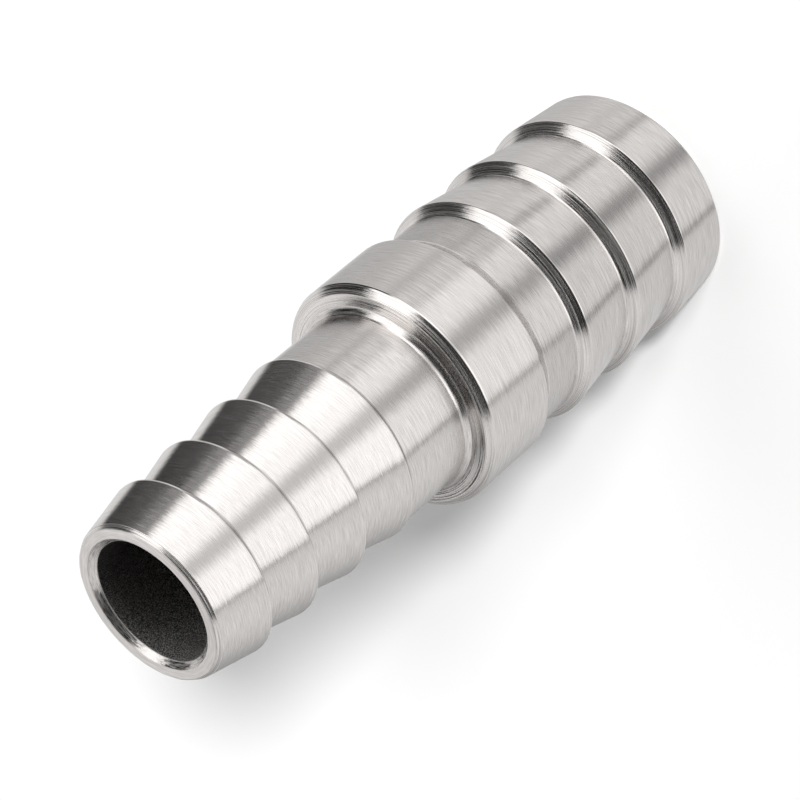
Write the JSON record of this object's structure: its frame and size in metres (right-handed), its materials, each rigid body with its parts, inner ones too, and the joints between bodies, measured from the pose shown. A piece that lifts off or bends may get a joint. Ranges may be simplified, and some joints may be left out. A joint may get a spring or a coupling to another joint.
{
  "type": "hose barb reducer",
  "caption": "Turned metal reducer with a small and a large barbed hose tail on either side of a plain collar, around a bore that steps down inside.",
  "frame": {"origin": "centre of the large tail's end face, on the surface that it stands on", "axes": "+Z along the bore, from the large tail to the small tail; X and Y lie anywhere round it"},
  "size_m": [0.0272, 0.0272, 0.0809],
  "materials": {
    "body": "satin"
  },
  "bodies": {
    "root": {"reducer_body": "body"}
  },
  "joints": []
}
